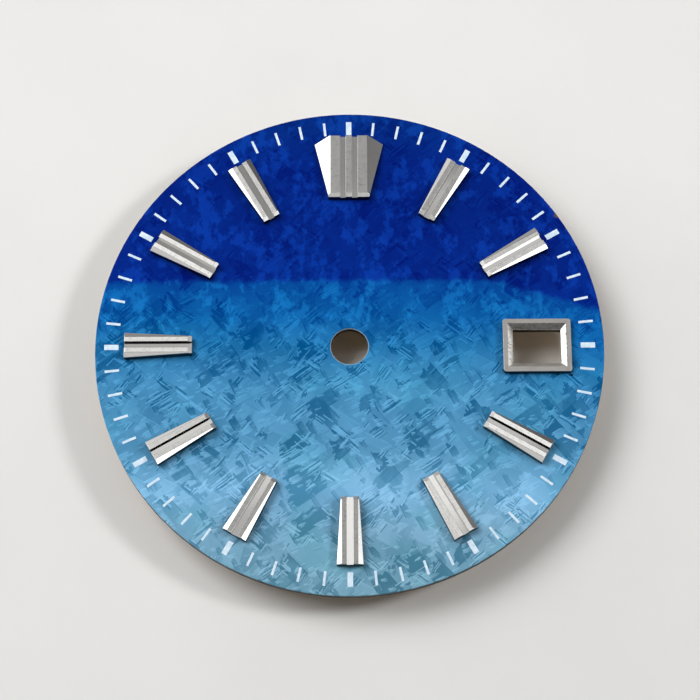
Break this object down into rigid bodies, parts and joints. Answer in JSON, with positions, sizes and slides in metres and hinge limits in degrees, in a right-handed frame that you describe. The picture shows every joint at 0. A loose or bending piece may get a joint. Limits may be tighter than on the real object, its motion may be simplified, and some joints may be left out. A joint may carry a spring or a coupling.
{
  "type": "watch dial",
  "caption": "Round watch dial with a textured face, printed minute track, applied hour indices, a raised date frame and locating feet on its back.",
  "frame": {"origin": "on the axis of the centre hole, in the back face of the blank", "axes": "+Z out of the face, +Y towards 12 and +X towards 3"},
  "size_m": [0.0285, 0.0284, 0.003],
  "materials": {
    "blank": "satin",
    "face": "gloss",
    "print": "satin",
    "applied_index": "brushed lands, polished facets",
    "date_frame": "polished",
    "dial_feet": "satin"
  },
  "bodies": {
    "root": {"dial_plate": "blank", "face_layer": "face", "minute_marks": "print", "five_minute_marks": "print", "index_12": "applied_index", "index_01": "applied_index", "index_02": "applied_index", "index_04": "applied_index", "index_05": "applied_index", "index_06": "applied_index", "index_07": "applied_index", "index_08": "applied_index", "index_09": "applied_index", "index_10": "applied_index", "index_11": "applied_index", "date_frame": "date_frame", "dial_foot_1": "dial_feet", "dial_foot_2": "dial_feet", "dial_foot_3": "dial_feet", "dial_foot_4": "dial_feet"}
  },
  "joints": []
}
